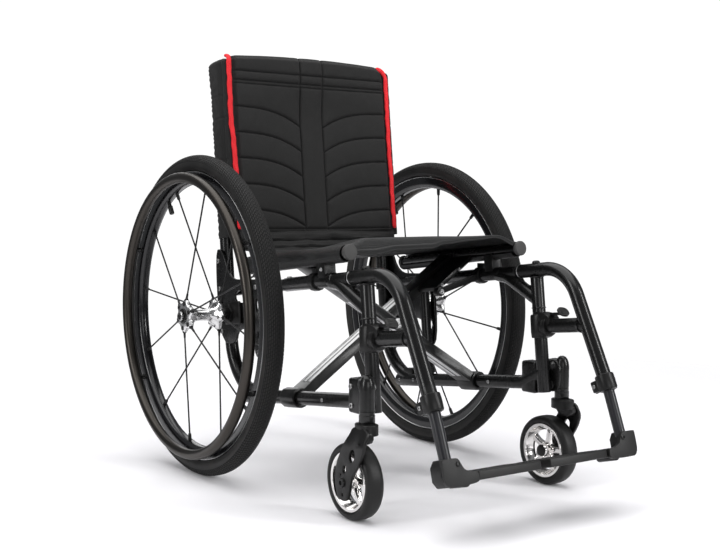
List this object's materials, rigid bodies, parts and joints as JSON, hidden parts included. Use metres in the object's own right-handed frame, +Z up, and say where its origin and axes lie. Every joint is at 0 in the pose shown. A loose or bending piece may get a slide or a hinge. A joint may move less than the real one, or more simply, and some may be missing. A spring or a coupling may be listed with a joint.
{
  "type": "manual wheelchair",
  "caption": "Folding manual wheelchair with cross-braced side frames, spoked rear wheels with handrims, front casters, swing-away footrests and a padded back sling.",
  "frame": {"origin": "on the floor under the middle of the chair's box", "axes": "+Z up, -Y the way the rider faces, +X the rider's left"},
  "size_m": [0.639, 0.9736, 0.798],
  "materials": {
    "frame_black": "satin black powder coat",
    "dark_plastic": "fine-grained black moulding",
    "grey_plastic": "dark grey moulding",
    "polished": "polished",
    "anodised": "dark anodised, brushed round",
    "tyre_rubber": "matte rubber",
    "fabric_black": "black woven nylon"
  },
  "bodies": {
    "left_frame": {"left_back_post": "frame_black", "left_lower_tube": "frame_black", "left_upper_tube": "frame_black", "left_front_post": "frame_black", "left_rail_saddle": "dark_plastic", "left_axle_plate": "frame_black", "left_axle_sleeve": "dark_plastic", "left_caster_housing": "frame_black", "left_wheel_axle": "polished", "back_upholstery": "fabric_black"},
    "right_frame": {"right_back_post": "frame_black", "right_lower_tube": "frame_black", "right_upper_tube": "frame_black", "right_front_post": "frame_black", "right_rail_saddle": "dark_plastic", "right_axle_plate": "frame_black", "right_axle_sleeve": "dark_plastic", "right_caster_housing": "frame_black", "right_wheel_axle": "polished"},
    "cross_arm_b": {"cross_arm_b": "frame_black", "right_seat_rail": "frame_black", "centre_bolt": "polished"},
    "cross_arm_a": {"cross_arm_a": "frame_black", "left_seat_rail": "frame_black", "seat_sling": "fabric_black"},
    "left_fold_link": {"left_fold_link": "frame_black"},
    "left_wheel": {"left_wheel_tyre": "tyre_rubber", "left_wheel_rim": "frame_black", "left_wheel_spokes": "frame_black", "left_wheel_hub": "polished", "left_handrim": "anodised"},
    "left_axle_button": {"left_axle_button": "dark_plastic"},
    "left_caster_fork": {"left_caster_fork": "frame_black", "left_caster_axle": "dark_plastic"},
    "left_caster_wheel": {"left_caster_rim": "polished", "left_caster_tyre": "tyre_rubber"},
    "left_hanger": {"left_hanger_tube": "frame_black", "left_hanger_latch": "dark_plastic", "left_extension_clamp": "dark_plastic"},
    "left_release_lever": {"left_release_lever": "grey_plastic"},
    "left_footrest": {"left_extension_tube": "frame_black"},
    "left_footplate": {"left_footplate": "dark_plastic"},
    "right_fold_link": {"right_fold_link": "frame_black"},
    "right_wheel": {"right_wheel_tyre": "tyre_rubber", "right_wheel_rim": "frame_black", "right_wheel_spokes": "frame_black", "right_wheel_hub": "polished", "right_handrim": "anodised"},
    "right_axle_button": {"right_axle_button": "dark_plastic"},
    "right_caster_fork": {"right_caster_fork": "frame_black", "right_caster_axle": "dark_plastic"},
    "right_caster_wheel": {"right_caster_rim": "polished", "right_caster_tyre": "tyre_rubber"},
    "right_hanger": {"right_hanger_tube": "frame_black", "right_hanger_latch": "dark_plastic", "right_extension_clamp": "dark_plastic"},
    "right_release_lever": {"right_release_lever": "grey_plastic"},
    "right_footrest": {"right_extension_tube": "frame_black"},
    "right_footplate": {"right_footplate": "dark_plastic"}
  },
  "joints": [
    {"name": "fold", "type": "hinge", "parent": "left_frame", "child": "cross_arm_b", "pos_m": [0.189, -0.07264, 0.17099], "axis": [0, 0.9945, -0.105], "range_deg": [0, 38.8], "deforming": ["seat_sling", "back_upholstery"]},
    {"name": "brace_pivot", "type": "hinge", "parent": "cross_arm_b", "child": "cross_arm_a", "pos_m": [0, -0.0378, 0.29135], "axis": [0, 0.9945, -0.105], "range_deg": [-78, 0]},
    {"name": "right_brace_hinge", "type": "hinge", "parent": "cross_arm_a", "child": "right_frame", "pos_m": [-0.189, -0.02888, 0.16637], "axis": [0, 0.9945, -0.105], "range_deg": [0, 39]},
    {"name": "left_link_hinge", "type": "hinge", "parent": "left_frame", "child": "left_fold_link", "pos_m": [0.189, -0.10182, 0.38022], "axis": [0, 0.9945, -0.105], "range_deg": [0, 84.05]},
    {"name": "right_link_hinge", "type": "hinge", "parent": "right_frame", "child": "right_fold_link", "pos_m": [-0.189, -0.10182, 0.38022], "axis": [0, 0.9945, -0.105], "range_deg": [-84.05, 0]},
    {"name": "left_wheel_spin", "type": "hinge", "parent": "left_frame", "child": "left_wheel", "pos_m": [0.277, 0.18185, 0.305], "axis": [1, 0, 0], "continuous": true},
    {"name": "left_axle_button_press", "type": "slide", "parent": "left_frame", "child": "left_axle_button", "axis": [-1, 0, 0], "range_m": [0, 0.0038], "stiffness_N_per_m": 300, "springref_m": -0.002},
    {"name": "left_caster_swivel", "type": "hinge", "parent": "left_frame", "child": "left_caster_fork", "pos_m": [0.2164, -0.29515, 0.1625], "axis": [0, 0, 1], "continuous": true},
    {"name": "left_caster_roll", "type": "hinge", "parent": "left_caster_fork", "child": "left_caster_wheel", "pos_m": [0.2164, -0.26095, 0.0635], "axis": [1, 0, 0], "continuous": true},
    {"name": "left_hanger_swing", "type": "hinge", "parent": "left_frame", "child": "left_hanger", "pos_m": [0.189, -0.25969, 0.35164], "axis": [0, 0.105, 0.9945], "range_deg": [0, 90]},
    {"name": "left_release_lever_press", "type": "hinge", "parent": "left_hanger", "child": "left_release_lever", "pos_m": [0.189, -0.29928, 0.31962], "axis": [-1, 0, 0], "range_deg": [0, 12], "stiffness_Nm_per_rad": 0.4, "springref_deg": -8.59},
    {"name": "left_footrest_length", "type": "slide", "parent": "left_hanger", "child": "left_footrest", "axis": [0, -0.4388, -0.8986], "range_m": [0, 0.04]},
    {"name": "left_footplate_flip", "type": "hinge", "parent": "left_footrest", "child": "left_footplate", "pos_m": [0.162, -0.46815, 0.0949], "axis": [0, 0.9659, -0.2588], "range_deg": [0, 86.3]},
    {"name": "right_wheel_spin", "type": "hinge", "parent": "right_frame", "child": "right_wheel", "pos_m": [-0.277, 0.18185, 0.305], "axis": [1, 0, 0], "continuous": true},
    {"name": "right_axle_button_press", "type": "slide", "parent": "right_frame", "child": "right_axle_button", "axis": [1, 0, 0], "range_m": [0, 0.0038], "stiffness_N_per_m": 300, "springref_m": -0.002},
    {"name": "right_caster_swivel", "type": "hinge", "parent": "right_frame", "child": "right_caster_fork", "pos_m": [-0.2164, -0.29515, 0.1625], "axis": [0, 0, 1], "continuous": true},
    {"name": "right_caster_roll", "type": "hinge", "parent": "right_caster_fork", "child": "right_caster_wheel", "pos_m": [-0.2164, -0.26095, 0.0635], "axis": [1, 0, 0], "continuous": true},
    {"name": "right_hanger_swing", "type": "hinge", "parent": "right_frame", "child": "right_hanger", "pos_m": [-0.189, -0.25969, 0.35164], "axis": [0, -0.105, -0.9945], "range_deg": [0, 90]},
    {"name": "right_release_lever_press", "type": "hinge", "parent": "right_hanger", "child": "right_release_lever", "pos_m": [-0.189, -0.29928, 0.31962], "axis": [-1, 0, 0], "range_deg": [0, 12], "stiffness_Nm_per_rad": 0.4, "springref_deg": -8.59},
    {"name": "right_footrest_length", "type": "slide", "parent": "right_hanger", "child": "right_footrest", "axis": [0, -0.4388, -0.8986], "range_m": [0, 0.04]},
    {"name": "right_footplate_flip", "type": "hinge", "parent": "right_footrest", "child": "right_footplate", "pos_m": [-0.162, -0.46815, 0.0949], "axis": [0, -0.9659, 0.2588], "range_deg": [0, 86.3]}
  ],
  "couplings": [
    {"joint": "brace_pivot", "follows": "fold", "ratio": -2},
    {"joint": "right_brace_hinge", "follows": "fold", "ratio": 1},
    {"joint": "left_link_hinge", "follows": "fold", "ratio": 2.1559},
    {"joint": "right_link_hinge", "follows": "fold", "ratio": -2.1559},
    {"joint": "left_footplate_flip", "follows": "fold", "ratio": 2.2165},
    {"joint": "right_footplate_flip", "follows": "fold", "ratio": 2.2165}
  ]
}
